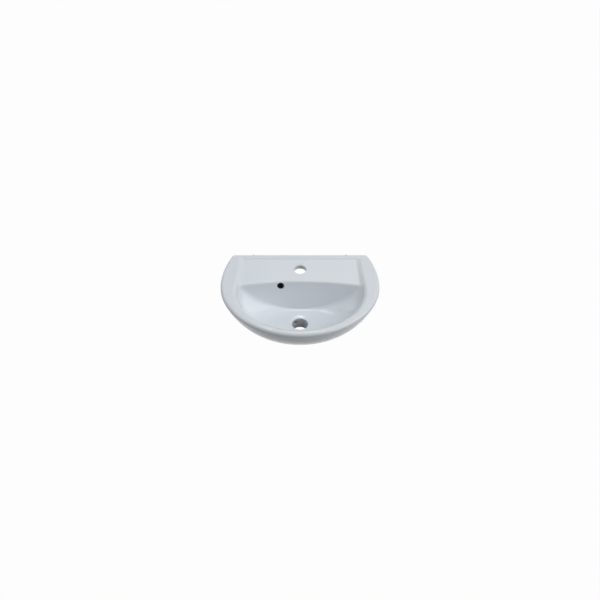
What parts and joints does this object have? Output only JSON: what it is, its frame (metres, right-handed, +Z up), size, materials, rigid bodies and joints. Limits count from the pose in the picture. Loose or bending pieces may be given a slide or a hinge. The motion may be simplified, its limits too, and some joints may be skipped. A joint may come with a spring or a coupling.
{
  "type": "wall hung basin",
  "caption": "D-shaped wall hung basin in white glazed ceramic, with a recessed tap deck, tap hole, overflow, waste outlet, open back and the bolts that hang it on a wall.",
  "frame": {"origin": "on the wall face, midway between the two fixing bolts, 60 mm below the top of the rim", "axes": "+X along the wall to the right as seen from the front, +Y into the wall, +Z up; the bowl hangs at negative Y"},
  "size_m": [0.45, 0.396, 0.135],
  "materials": {
    "glazed_china": "smooth white glaze with a faint cool tint, high gloss",
    "zinc_steel": "zinc plated steel, satin",
    "grey_nylon": "moulded nylon, matt",
    "white_plastic": "moulded polyethylene, matt"
  },
  "bodies": {
    "root": {"ceramic_basin": "glazed_china", "hanger_bolt_left": "zinc_steel", "wall_plug_left": "grey_nylon", "fixing_bush_left": "white_plastic", "washer_left": "zinc_steel", "hex_nut_left": "zinc_steel", "hanger_bolt_right": "zinc_steel", "wall_plug_right": "grey_nylon", "fixing_bush_right": "white_plastic", "washer_right": "zinc_steel", "hex_nut_right": "zinc_steel"}
  },
  "joints": []
}
